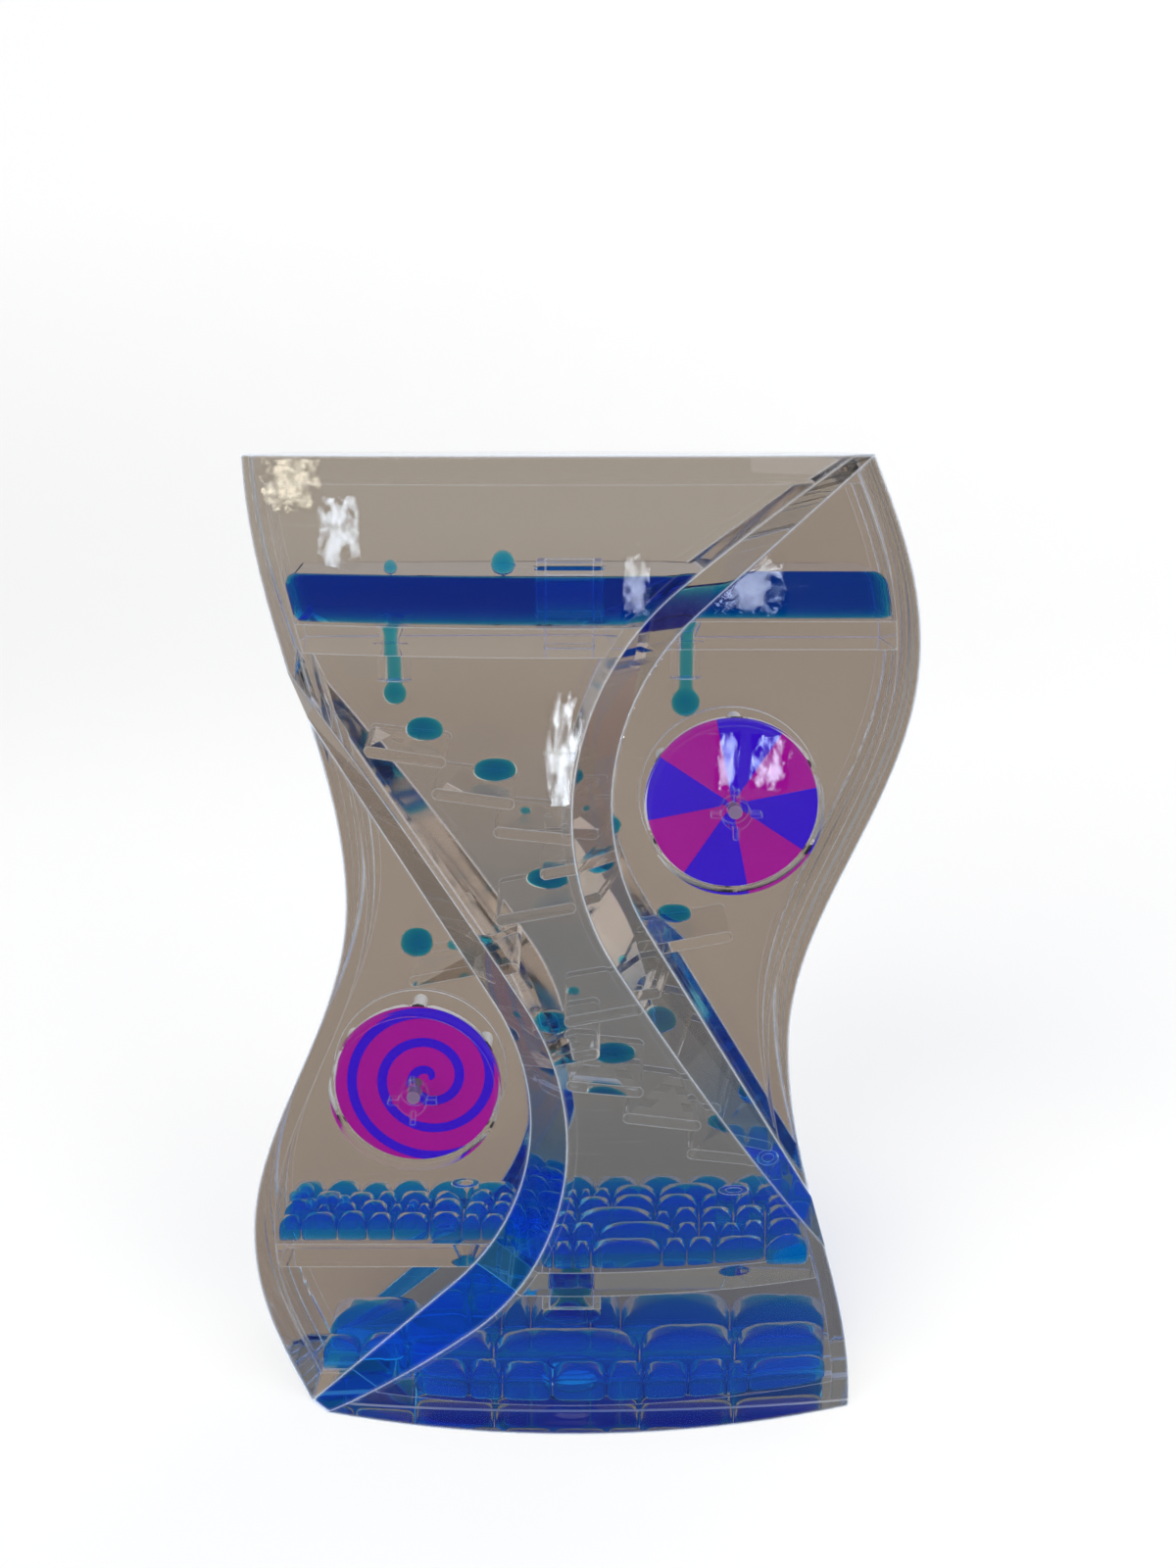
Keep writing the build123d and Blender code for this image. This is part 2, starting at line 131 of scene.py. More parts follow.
# Rows of water cells in millimetres: front, back, share of the pool's height, and edges from the left
MIDDLE_ROWS = (
    (-10.4, -5.4, 0.95, (-45.3, -41.7, -36.1, -31.5, -27.5, -21.9, -16.9, -13.9, -10.0)),
    (-5.4, -0.8, 1.0, (-45.3, -40.0, -37.5, -33.3, -28.5, -26.2, -24.2, -21.9, -16.9, -12.7, -9.0)),
    (-0.8, 4.6, 0.95, (-45.3, -41.0, -36.0, -31.0, -27.5, -22.0, -16.9, -12.0, -9.0)),
    (4.6, 10.4, 0.9, (-45.3, -39.5, -34.0, -29.0, -23.0, -16.9, -9.0)),
    (-18.2, -11.0, 0.85, (-8.0, -4.5, -2.6, 0.4, 3.0, 13.5, 17.2, 21.3, 29.0, 35.7)),
    (-11.0, -5.5, 0.95, (-8.5, -3.5, 0.0, 4.0, 15.5, 19.0, 22.0, 25.5, 29.0, 35.7)),
    (-5.5, 0.5, 1.0, (-8.5, -3.0, 1.0, 12.3, 15.0, 19.0, 24.2, 29.0, 35.7)),
    (0.5, 6.0, 1.0, (-8.5, -4.0, 0.8, 6.0, 12.5, 19.0, 24.2, 29.0, 35.7)),
    (6.0, 11.5, 0.95, (-7.5, -1.9, 1.2, 3.0, 6.0, 12.8, 22.0, 27.3, 35.7)),
    (11.5, 18.2, 0.85, (-7.5, -2.5, 3.5, 10.0, 17.0, 24.0, 35.7)),
)
BOTTOM_ROWS = (
    (-10.4, -3.0, 0.7, (-42.0, -33.5, -24.0)),
    (-3.0, 10.4, 1.0, (-42.0, -24.0)),
    (-18.2, -9.0, 0.72, (-24.0, -15.4, -10.4, -2.8, 5.4, 11.0, 17.8, 23.7, 27.0, 40.0)),
    (-9.0, 2.0, 0.95, (-24.0, -11.8, 10.3, 24.8, 40.0)),
    (2.0, 18.2, 0.95, (-24.0, -10.7, -6.3, 2.8, 7.3, 24.0, 40.0)),
)
# Beads of water in millimetres: x, y, radius
UPPER_BEADS = ((-23.6, -13.0, 1.0), (-8.6, -14.5, 1.7))
MIDDLE_BEADS = (
    (-43.0, -4.0, 1.0),
    (-41.6, -2.0, 1.4),
    (-40.4, -5.0, 1.0),
    (-39.0, -2.5, 0.9),
    (-37.6, -1.0, 0.95),
    (-35.2, -4.5, 1.0),
    (-24.6, -4.3, 0.8),
)
# Drain column in millimetres: height above its CAD foot, radius, and power of its section
DRAIN_PROFILE = (
    (0.0, 3.9, 2.0),
    (0.25, 4.5, 2.0),
    (0.7, 4.3, 2.0),
    (1.3, 3.4, 2.0),
    (2.1, 2.5, 2.0),
    (3.2, 1.9, 2.0),
    (5.0, 1.65, 2.0),
    (8.0, 1.65, 2.0),
    (10.2, 1.7, 2.0),
    (10.6, 1.95, 2.0),
    (11.1, 2.0, 2.0),
    (11.4, 1.75, 2.0),
    (11.9, 1.75, 2.0),
    (12.2, 2.05, 2.0),
    (12.7, 2.1, 2.2),
    (12.9, 2.6, 4.0),
    (13.1, 2.95, 8.0),
    (14.7, 3.0, 8.0),
    (14.9, 2.8, 8.0),
)
# Bright far windows that the front of the case mirrors: place, size, strength, warmth
FAR_WINDOWS = (
    ((0.067, -0.40, 0.089), (0.034, 0.028), 50.0, 0.3),
    ((0.061, -0.40, 0.014), (0.011, 0.028), 70.0, 0.0),
    ((0.079, -0.40, 0.014), (0.018, 0.026), 70.0, 0.0),
    ((-0.010, -0.40, 0.020), (0.044, 0.056), 90.0, 0.2),
    ((-0.285, -0.40, 0.105), (0.064, 0.036), 60.0, 0.1),
    ((-0.33, -0.36, 0.128), (0.085, 0.030), 50.0, 1.0),
)
# Soft lamps: name, place, size, power in watts
LAMPS = (
    ("key_lamp", (-0.45, -0.75, 0.6), (0.6, 0.6), 9.0),
    ("fill_lamp", (0.6, -0.65, 0.4), (0.6, 0.6), 5.0),
    ("back_lamp", (0.35, 0.75, 0.55), (0.8, 0.5), 8.0),
)
LIT_POINT = (0.0, 0.0, 0.07)  # what the lamps and the windows face

# World, and the white of the floor and of the backdrop above it where they are seen directly
WORLD_COLOUR = (0.95, 0.97, 1.0, 1.0)
WORLD_LIGHT = 0.45
WORLD_SEEN = 0.55  # added where the world is seen directly
FLOOR_WHITE = 0.53
BACKDROP_WHITE = 0.74

# Floor and backdrop, in metres
FLOOR_HALF = 2.0
BEND_START = 0.5
BEND_RADIUS = 0.3
BEND_STEPS = 12
BACKDROP_TOP = 1.6
FLOOR_GAP = 0.1 * MM

# Camera, fitted to the photograph
PICTURE_HEIGHT = 1600  # pixels
FOCAL_LENGTH = 1450  # pixels
SENSOR = 36.0
CAMERA_PLACE = (0.0026, -0.2073, 0.1475)
CAMERA_PITCH = 13.81  # degrees below level


class TimerColours(bpy.types.PropertyGroup):
    """Colours of the timer and its stage."""

    front_tint: FloatVectorProperty(
        name="Front window tint",
        description="Colour of the front window",
        default=(0.74, 0.70, 0.66),
        min=0.0,
        max=1.0,
        subtype="COLOR",
    )
    rear_tint: FloatVectorProperty(
        name="Rear window tint",
        description="Colour of the smoky rear window",
        default=(0.11, 0.075, 0.051),
        min=0.0,
        max=1.0,
        subtype="COLOR",
    )
    # Painted shade: the lower part of the rear bulge is tinted darker
    rear_painted_shade: FloatVectorProperty(
        name="Rear shade",
        description="Colour of the lower part of the rear bulge",
        default=(0.035, 0.035, 0.035),
        min=0.0,
        max=1.0,
        subtype="COLOR",
    )
    # Painted light: the rear bulge is tinted lighter in the top chamber, in place of the reflections there
    rear_top_painted_light: FloatVectorProperty(
        name="Top of the rear bulge",
        description="Lighter tint of the rear bulge in the top chamber",
        default=(0.17, 0.135, 0.10),
        min=0.0,
        max=1.0,
        subtype="COLOR",
    )
    front_step: FloatVectorProperty(
        name="Front step",
        description="Colour of the steps at the edges of the front bulges",
        default=(0.70, 0.66, 0.62),
        min=0.0,
        max=1.0,
        subtype="COLOR",
    )
    rear_step: FloatVectorProperty(
        name="Rear step",
        description="Colour of the steps at the edges of the rear bulges",
        default=(0.65, 0.59, 0.54),
        min=0.0,
        max=1.0,
        subtype="COLOR",
    )
    wall_tint: FloatVectorProperty(
        name="Wall tint",
        description="Colour of the polished side walls",
        default=(0.38, 0.385, 0.40),
        min=0.0,
        max=1.0,
        subtype="COLOR",
    )
    # Painted light: blue glow on the lower steps, in place of the water's light that they carry
    painted_step_glow: FloatVectorProperty(
        name="Step glow",
        description="Blue that the steps carry up from the water in the lower half",
        default=(0.10, 0.50, 0.95),
        min=0.0,
        max=1.0,
        subtype="COLOR",
    )
    # Painted light: blue glow at the foot of the side walls, in place of the dyed water's light that they
    # lead
    painted_wall_glow: FloatVectorProperty(
        name="Wall glow",
        description="Colour of the foot of the side walls, which lead the light of the dyed water",
        default=(0.06, 0.62, 1.0),
        min=0.0,
        max=1.0,
        subtype="COLOR",
    )
    water: FloatVectorProperty(
        name="Water",
        description="Colour that the dyed water lets through",
        default=(0.0, 0.87, 0.985),
        min=0.0,
        max=1.0,
        subtype="COLOR",
    )
    pool_glow: FloatVectorProperty(
        name="Pool glow",
        description="Colour of the light that the pools scatter",
        default=(0.0, 0.25, 1.0),
        min=0.0,
        max=1.0,
        subtype="COLOR",
    )
    water_strength: FloatProperty(
        name="Water strength",
        description="How fast the dye takes light away, per metre",
        default=1400.0,
        min=0.0,
    )
    magenta: FloatVectorProperty(
        name="Magenta print",
        description="Pale print colour of the wheels",
        default=(0.42, 0.001, 0.37),
        min=0.0,
        max=1.0,
        subtype="COLOR",
    )
    violet: FloatVectorProperty(
        name="Violet print",
        description="Dark print colour of the wheels",
        default=(0.04, 0.001, 0.75),
        min=0.0,
        max=1.0,
        subtype="COLOR",
    )
    rotor_white: FloatVectorProperty(
        name="Rotor white",
        description="White plastic of the paddle wheels",
        default=(0.84, 0.88, 0.94),
        min=0.0,
        max=1.0,
        subtype="COLOR",
    )
    floor: FloatVectorProperty(
        name="Floor",
        description="Pale floor and backdrop",
        default=(0.36, 0.36, 0.36),
        min=0.0,
        max=1.0,
        subtype="COLOR",
    )


class TimerSizes(bpy.types.PropertyGroup):
    """Sizes of what the scene adds to the CAD model."""

    pool_round: FloatProperty(
        name="Pool rounding",
        description="Radius of the rounded upper edge of a pool",
        default=1.9 * MM,
        min=0.1 * MM,
        unit="LENGTH",
    )
    pool_foot_round: FloatProperty(
        name="Pool foot rounding",
        description="Radius of the rounded lower edge of a pool",
        default=0.8 * MM,
        min=0.1 * MM,
        unit="LENGTH",
    )
    pipe_half: FloatProperty(
        name="Standpipe clearance",
        description="Half width of the hole in the upper pool round the square standpipe",
        default=4.75 * MM,
        min=0.0,
        unit="LENGTH",
    )
    thread: FloatProperty(
        name="Thread",
        description="Radius of the thread of water in a nozzle",
        default=1.05 * MM,
        min=0.1 * MM,
        unit="LENGTH",
    )
    funnel: FloatProperty(
        name="Funnel",
        description="Radius of the water at the mouth of a nozzle's funnel",
        default=2.35 * MM,
        min=0.1 * MM,
        unit="LENGTH",
    )
    funnel_depth: FloatProperty(
        name="Funnel depth",
        description="Depth to which the water in a funnel narrows",
        default=3.6 * MM,
        min=0.1 * MM,
        unit="LENGTH",
    )


# Node helpers


def new_material(name):
    """Empty node material with its output node."""
    material = bpy.data.materials.new(name)
    material.use_nodes = True
    tree = material.node_tree
    tree.nodes.clear()
    output = tree.nodes.new("ShaderNodeOutputMaterial")
    return material, tree, output


def node(tree, kind, inputs=None, **settings):
    """New node with its settings; each input is linked if it is given a socket, and set otherwise."""
    made = tree.nodes.new(kind)
    for name, value in settings.items():
        setattr(made, name, value)
    for name, value in (inputs or {}).items():
        if isinstance(value, bpy.types.NodeSocket):
            tree.links.new(value, made.inputs[name])
        else:
            made.inputs[name].default_value = value
    return made


def opaque(colour):
    """Colour with full alpha."""
    return (*colour, 1.0)


def calc(tree, operation, first, second=0.0):
    """Output of a Math node."""
    return node(tree, "ShaderNodeMath", {0: first, 1: second}, operation=operation).outputs[0]


def object_point(tree):
    """Coordinates that stay with the piece."""
    return node(tree, "ShaderNodeTexCoord").outputs["Object"]


def noise(tree, scale, detail, point=None):
    """Noise that stays with the piece, at its own point or at a stretched one."""
    inputs = {"Vector": point or object_point(tree), "Scale": scale, "Detail": detail}
    return node(tree, "ShaderNodeTexNoise", inputs).outputs["Fac"]


def between(tree, share, least, most):
    """A share from 0 to 1, spread between two values."""
    return node(tree, "ShaderNodeMapRange", {"Value": share, "To Min": least, "To Max": most}).outputs[0]


def mixed(tree, share, first, second):
    """Mix of two shaders, with the share of the second."""
    mix = node(tree, "ShaderNodeMixShader", {0: share})
    tree.links.new(first.outputs[0], mix.inputs[1])
    tree.links.new(second.outputs[0], mix.inputs[2])
    return mix


def lets_lamps_through(tree, shader, colour):
    """The shader for all rays but those to the lamps, which pass with a colour."""
    passed = node(tree, "ShaderNodeBsdfTransparent", {"Color": opaque(colour)})
    path = node(tree, "ShaderNodeLightPath")
    return mixed(tree, path.outputs["Is Shadow Ray"], shader, passed).outputs[0]


def moulded_waves(tree, scale, height, edge_round=0.0):
    """Normal of a surface that is a little uneven from its mould, with edges that look rounded."""
    waves = noise(tree, scale, 2.0)
    bump = node(tree, "ShaderNodeBump", {"Height": waves, "Strength": 1.0, "Distance": height})
    if edge_round:
        edge = node(tree, "ShaderNodeBevel", {"Radius": edge_round}, samples=6)
        tree.links.new(edge.outputs[0], bump.inputs["Normal"])
    return bump.outputs["Normal"]


def fine_scratches(tree, haze):
    """Roughness with fine stray scratches in two directions."""
    point = object_point(tree)
    stretch = (60.0, 60.0, 1800.0)
    rarity = 0.72
    marks = []
    for turn in (35.0, -50.0):
        turned = {"Vector": point, "Rotation": (0.0, radians(turn), 0.0), "Scale": stretch}
        stretched = node(tree, "ShaderNodeMapping", turned)
        lines = noise(tree, 1.0, 1.0, stretched.outputs[0])
        marks.append(calc(tree, "GREATER_THAN", lines, rarity))
    either = calc(tree, "MAXIMUM", marks[0], marks[1])
    return between(tree, either, haze, haze + SCRATCH_HAZE)


# Materials


def painted_highlights(tree, shader, share):
    """The shader with painted highlights: pale diffuse light mixed in where the share is above 0."""
    pale = node(tree, "ShaderNodeBsdfDiffuse", {"Color": PAINTED_HIGHLIGHT_COLOUR})
    return mixed(tree, share, shader, pale)


def painted_edge_highlights(tree, shader, radius, strength):
    """The shader with painted highlights: pale lines along its rounded edges, in place of their
    reflections.
    """
    start = 0.99  # agreement of the rounded and the flat normal where a line starts
    full = 0.8  # agreement where a line has its full strength
    rounded = node(tree, "ShaderNodeBevel", {"Radius": radius}, samples=8)
    flat = node(tree, "ShaderNodeNewGeometry")
    normals = {0: rounded.outputs[0], 1: flat.outputs["Normal"]}
    agreement = node(tree, "ShaderNodeVectorMath", normals, operation="DOT_PRODUCT")
    turned = calc(tree, "ABSOLUTE", agreement.outputs["Value"])
    edge = node(
        tree,
        "ShaderNodeMapRange",
        {"Value": turned, "From Min": start, "From Max": full, "To Min": 0.0, "To Max": strength},
    )
    return painted_highlights(tree, shader, edge.outputs[0])


def painted_wall_streaks(tree, shader):
    """The shader with painted highlights: pale streaks along a wall."""
    along = (1.5, 280.0, 1.5)
    start = 0.56  # noise where a line starts
    full = 0.61  # noise where a line has its full strength
    strength = 0.55
    stretched = node(tree, "ShaderNodeMapping", {"Vector": object_point(tree), "Scale": along})
    streak_noise = noise(tree, 1.0, 2.0, stretched.outputs[0])
    line = node(
        tree,
        "ShaderNodeMapRange",
        {"Value": streak_noise, "From Min": start, "From Max": full, "To Max": strength},
    )
    return painted_highlights(tree, shader, line.outputs[0])


def shaded_by_height(tree, stops):
    """Colour that changes with height, from pairs of a height and a colour."""
    top = stops[-1][0]
    height = node(tree, "ShaderNodeSeparateXYZ", {"Vector": object_point(tree)}).outputs["Z"]
    share = node(tree, "ShaderNodeMapRange", {"Value": height, "From Max": top})
    ramp = node(tree, "ShaderNodeValToRGB", {"Fac": share.outputs[0]})
    marks = ramp.color_ramp.elements
    while len(marks) < len(stops):
        marks.new(0.5)
    for mark, (z, colour) in zip(marks, stops):
        mark.position = z / top
        mark.color = opaque(colour)
    return ramp.outputs["Color"]


def acrylic_outside(name, tint=None, stops=None, painted_streaks=False):
    """Polished outside of the case, against air, with one tint or with stops of a tint by height."""
    material, tree, output = new_material(name)
    glass = node(
        tree,
        "ShaderNodeBsdfPrincipled",
        {
            "Base Color": shaded_by_height(tree, stops) if stops else opaque(tint),
            "Specular Tint": (0.26, 0.27, 0.29, 1.0),
            "Transmission Weight": 1.0,
            "IOR": ACRYLIC_IN_AIR,
            "Roughness": fine_scratches(tree, 0.0),
            "Normal": moulded_waves(tree, WAVE_SCALE, WAVE_HEIGHT, EDGE_ROUND),
        },
    )
    # Painted highlights: pale streaks along the side walls
    if painted_streaks:
        glass = painted_wall_streaks(tree, glass)
    # Painted highlights: pale lines along the outer edges
    with_painted_highlights = painted_edge_highlights(tree, glass, EDGE_ROUND, EDGE_PAINTED_HIGHLIGHT)
    tree.links.new(lets_lamps_through(tree, with_painted_highlights, PAST_OUTSIDE), output.inputs["Surface"])
    return material


def acrylic_step(name, stops, haze):
    """Slightly hazy step between a flat window and a bulge, which tints what it mirrors too."""
    material, tree, output = new_material(name)
    glass = node(
        tree,
        "ShaderNodeBsdfGlass",
        {
            "Color": shaded_by_height(tree, stops),
            "IOR": ACRYLIC_IN_AIR,
            "Roughness": fine_scratches(tree, haze),
            "Normal": moulded_waves(tree, WAVE_SCALE, WAVE_HEIGHT, EDGE_ROUND),
        },
    )
    # Painted highlights: pale lines along the edges of the step
    with_painted_highlights = painted_edge_highlights(tree, glass, EDGE_ROUND, EDGE_PAINTED_HIGHLIGHT)
    tree.links.new(lets_lamps_through(tree, with_painted_highlights, PAST_OUTSIDE), output.inputs["Surface"])
    return material


def acrylic_inside(name):
    """Moulded clear plastic that is wetted by the oil."""
    ratio, highlight_strength = CLEAR_PLASTIC[name]
    inner_round = EDGE_ROUND / 2
    material, tree, output = new_material(name)
    glass = node(
        tree,
        "ShaderNodeBsdfGlass",
        {
            "Color": (1.0, 1.0, 1.0, 1.0),
            "IOR": ratio,
            "Roughness": 0.0,
            "Normal": moulded_waves(tree, INNER_WAVE_SCALE, INNER_WAVE_HEIGHT, inner_round),
        },
    )
    # Painted highlights: pale lines along the edges of the clear plastic in the oil
    with_painted_highlights = painted_edge_highlights(tree, glass, inner_round, highlight_strength)
    tree.links.new(lets_lamps_through(tree, with_painted_highlights, PAST_INSIDE), output.inputs["Surface"])
    return material


def frosted_pin():
    """Clear axle with a dull skin, which shows as a pale dot in the hub."""
    material, tree, output = new_material("frosted_pin")
    skin = node(
        tree,
        "ShaderNodeBsdfPrincipled",
        {
            "Base Color": (0.5, 0.4, 0.6, 1.0),
            "Transmission Weight": 0.8,
            "IOR": LEDGE_IN_OIL,
            "Roughness": between(tree, noise(tree, 1500.0, 3.0), 0.3, 0.5),
        },
    )
    tree.links.new(lets_lamps_through(tree, skin, PAST_PIN), output.inputs["Surface"])
    return material


def bonded_seam():
    """Cemented joint between the shells, which light passes unchanged."""
    material, tree, output = new_material("bonded_seam")
    clear = node(tree, "ShaderNodeBsdfTransparent", {"Color": opaque(PAST_INSIDE)})
    tree.links.new(clear.outputs[0], output.inputs["Surface"])
    return material


def blue_water(name, colours, scatter=0.0, depth=1.0):
    """Dyed water: teal where it is thin, deep blue where it is thick; a broad pool scatters light."""
    material, tree, output = new_material(name)
    glass = node(
        tree,
        "ShaderNodeBsdfGlass",
        {
            "Color": (1.0, 1.0, 1.0, 1.0),
            "IOR": WATER_IN_OIL,
            "Roughness": 0.0,
            "Normal": moulded_waves(tree, RIPPLE_SCALE, RIPPLE_HEIGHT),
        },
    )
    dye = node(
        tree,
        "ShaderNodeVolumeAbsorption",
        {"Color": opaque(colours.water), "Density": colours.water_strength * depth},
    )
    glow = node(tree, "ShaderNodeBsdfDiffuse", {"Color": opaque(colours.pool_glow)})
    skin = mixed(tree, scatter, glass, glow)
    tree.links.new(lets_lamps_through(tree, skin, PAST_WATER), output.inputs["Surface"])
    tree.links.new(dye.outputs[0], output.inputs["Volume"])
    return material


def white_plastic(colours):
    """White moulded plastic of the paddle wheels."""
    material, tree, output = new_material("white_plastic")
    plastic = node(
        tree,
        "ShaderNodeBsdfPrincipled",
        {
            "Base Color": opaque(colours.rotor_white),
            "Roughness": between(tree, noise(tree, 900.0, 3.0), 0.25, 0.4),
            "Normal": moulded_waves(tree, 500.0, 0.01 * MM),
        },
    )
    tree.links.new(plastic.outputs[0], output.inputs["Surface"])
    return material


def wheel_plane(tree, wheel, offset=(0.0, 0.0)):
    """Distance to the right of the print's middle and above it; the offset is its place from the axle."""
    low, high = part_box(f"{wheel}_label")
    centre = (low + high) / 2 + Vector((offset[0], 0.0, offset[1]))
    axes = node(tree, "ShaderNodeSeparateXYZ", {"Vector": object_point(tree)})
    right = calc(tree, "SUBTRACT", axes.outputs["X"], centre.x)
    up = calc(tree, "SUBTRACT", axes.outputs["Z"], centre.z)
    return right, up


def print_material(name, share_of, colours):
    """Two-colour print with slightly uneven ink under a satin film; a function gives the violet's share."""
    material, tree, output = new_material(name)
    inks = {"Factor": share_of(tree), 6: opaque(colours.magenta), 7: opaque(colours.violet)}
    colour = node(tree, "ShaderNodeMix", inks, data_type="RGBA")
    patchy = between(tree, noise(tree, 2500.0, 2.0), 0.92, 1.06)
    inked = node(tree, "ShaderNodeVectorMath", {0: colour.outputs[2], "Scale": patchy}, operation="SCALE")
    film = node(
        tree,
        "ShaderNodeBsdfPrincipled",
        {"Base Color": inked.outputs[0], "Roughness": 0.35, "Specular IOR Level": 0.05},
    )
    tree.links.new(film.outputs[0], output.inputs["Surface"])
    return material


def pinwheel_print(colours):
    """Eight equal sectors in turn violet and magenta."""
    first_edge = 11.5  # degrees from the right, counter-clockwise
    sectors = 8

    def share(tree):
        right, up = wheel_plane(tree, "pinwheel")
        angle = calc(tree, "ARCTAN2", up, right)
        turned = calc(tree, "SUBTRACT", angle, radians(first_edge))
        counted = calc(tree, "MULTIPLY", turned, sectors / (2 * pi))
        pair = calc(tree, "FLOORED_MODULO", counted, 2.0)
        return calc(tree, "GREATER_THAN", pair, 1.0)

    return print_material("pinwheel_print", share, colours)


def spiral_print(colours):
    """Violet band that winds outward counter-clockwise on magenta."""
    pitch = 4.65 * MM
    band = 1.5 * MM
    start = 0.136  # turns, where the band leaves the middle
    offset = (1.8 * MM, 1.0 * MM)  # the spiral's middle, right of the axle and above it

    def share(tree):
        right, up = wheel_plane(tree, "spiral_wheel", offset)
        angle = calc(tree, "ARCTAN2", up, right)
        squares = calc(tree, "ADD", calc(tree, "MULTIPLY", right, right), calc(tree, "MULTIPLY", up, up))
        radius = calc(tree, "SQRT", squares)
        turns = calc(tree, "DIVIDE", radius, pitch)
        behind = calc(tree, "SUBTRACT", turns, calc(tree, "MULTIPLY", angle, 1 / (2 * pi)))
        phase = calc(tree, "FLOORED_MODULO", calc(tree, "ADD", behind, start), 1.0)
        return calc(tree, "LESS_THAN", phase, band / pitch)

    return print_material("spiral_print", share, colours)


# Shapes


def surface_tree(name):
    """Search tree of a CAD node's surface."""
    mesh = NODES[name].data
    corners = [vertex.co for vertex in mesh.vertices]
    faces = [tuple(polygon.vertices) for polygon in mesh.polygons]
    return BVHTree.FromPolygons(corners, faces)


def first_touch(tree, through, direction):
    """First point of a solid on a ray that comes from far outside towards a point."""
    direction = Vector(direction)
    touch = tree.ray_cast(Vector(through) - FAR * direction, direction)[0]
    if touch is None:
        raise ValueError(f"no wall found near {tuple(through)}")
    return touch


def shell_side(face, tree, other_tree, seam_y):
    """Material number of a face of a shell."""
    hair = face.normal * SEAM_GAP / 100
    if abs(face.center.y - seam_y) < SEAM_GAP / 10 and abs(face.normal.y) > SEAM_FACING:
        return SEAM
    start = face.center + hair
    across = other_tree.ray_cast(start, face.normal)
    if across[0] is not None and across[3] < SEAM_GAP:
        return SEAM
    if across[0] is None and tree.ray_cast(start, face.normal)[0] is None:
        if abs(face.normal.y) > WINDOW_FACING:
            return WINDOW if abs(face.center.y) < BULGE_DEPTH else BULGE
        beside = face.center + face.normal * BESIDE
        inward = Vector((0.0, -1.0 if face.center.y > 0 else 1.0, 0.0))
        return WALL if tree.ray_cast(beside, inward)[0] is None else STEP
    far_side = tree.ray_cast(face.center - hair, -face.normal)[0]
    if far_side is None:
        return INSIDE
    beyond = tree.ray_cast(far_side - face.normal * BESIDE, -face.normal)[0]
    return INSIDE if beyond is None else MOULDED


def on_boss(point, axles):
    """True for a point on a boss that holds an axle, or on the boss's ribs."""
    offs = [point - axle for axle in axles]
    return any(hypot(off.x, off.z) < BOSS_REACH for off in offs)


def dress_node(name, materials):
    """Gives a CAD node its materials."""
    piece = NODES[name]
    piece.data.materials.clear()
    for material in materials:
        piece.data.materials.append(material)
    return piece


def link_piece(name, mesh, material, body):
    """New object that rides on a body."""
    mesh.materials.append(material)
    mesh.polygons.foreach_set("use_smooth", [True] * len(mesh.polygons))
    piece = bpy.data.objects.new(name, mesh)
    bpy.context.scene.collection.objects.link(piece)
    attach(piece, body)
    return piece


def mesh_of(name, build):
    """Mesh made by a function that fills a BMesh, with its normals outward."""
    shape = bmesh.new()
    build(shape)
    bmesh.ops.recalc_face_normals(shape, faces=shape.faces)
    mesh = bpy.data.meshes.new(name)
    shape.to_mesh(mesh)
    shape.free()
    return mesh


def around(count):
    """Even directions round an upright axis."""
    return np.arange(count) * 2 * pi / count


def level_ring(x, y, z, reach):
    """Ring of points at one height, at a reach in each direction."""
    angles = around(len(reach))
    return [(x + r * cos(a), y + r * sin(a), z) for a, r in zip(angles, reach)]


def join_rings(shape, rings, closed=False):
    """Faces from each ring to the next; the last ring meets the first, or both ends get a cap."""
    loops = [[shape.verts.new(point) for point in ring] for ring in rings]
    pairs = list(zip(loops, loops[1:]))
    if closed:
        pairs.append((loops[-1], loops[0]))
    else:
        shape.faces.new(loops[0])
        shape.faces.new(loops[-1])
    for first, second in pairs:
        for k in range(len(first)):
            after = (k + 1) % len(first)
            shape.faces.new((first[k], first[after], second[after], second[k]))


def soft_min(distances):
    """Least of several distances in each direction, with its corners rounded."""
    sharpness = 6.0
    return np.sum(np.array(distances) ** -sharpness, axis=0) ** (-1 / sharpness)


def wall_reach(tree, x, y, heights, count):
    """Way to the walls of a CAD pool in each direction, the shortest of several heights."""
    reach = np.full(count, FAR)
    for z in heights:
        for k, angle in enumerate(around(count)):
            way = tree.ray_cast(Vector((x, y, z)), Vector((cos(angle), sin(angle), 0.0)))[3]
            reach[k] = min(reach[k], way or FAR)
    return reach


def outer_reach(tree, z, count):
    """Reach of a CAD pool from the timer's axis in each direction, felt from outside."""
    inward = [Vector((-cos(angle), -sin(angle), 0.0)) for angle in around(count)]
    return np.array([first_touch(tree, (0.0, 0.0, z), way).xy.length for way in inward])


def side_reach(way, turn, count):
    """Way in each direction to a straight side that lies a way off under an angle."""
    towards = np.cos(around(count) - turn)
    return np.where(towards > 0.01, way / np.maximum(towards, 0.01), FAR)


def add_blob(shape, place, reach, foot, crest, foot_power=2.0, crest_power=2.0, steps=12):
    """Rounded closed blob between two heights; higher powers make it flatter."""
    x, y = place
    waist = foot + 0.42 * (crest - foot)
    last_tilt = 0.47 * pi
    rings = []
    for tilt in np.linspace(-last_tilt, last_tilt, steps):
        power, rise = (crest_power, crest - waist) if tilt > 0 else (foot_power, foot - waist)
        share = cos(tilt) ** (2 / power)
        rings.append(level_ring(x, y, waist + rise * abs(sin(tilt)) ** (2 / power), share * reach))
    join_rings(shape, rings)


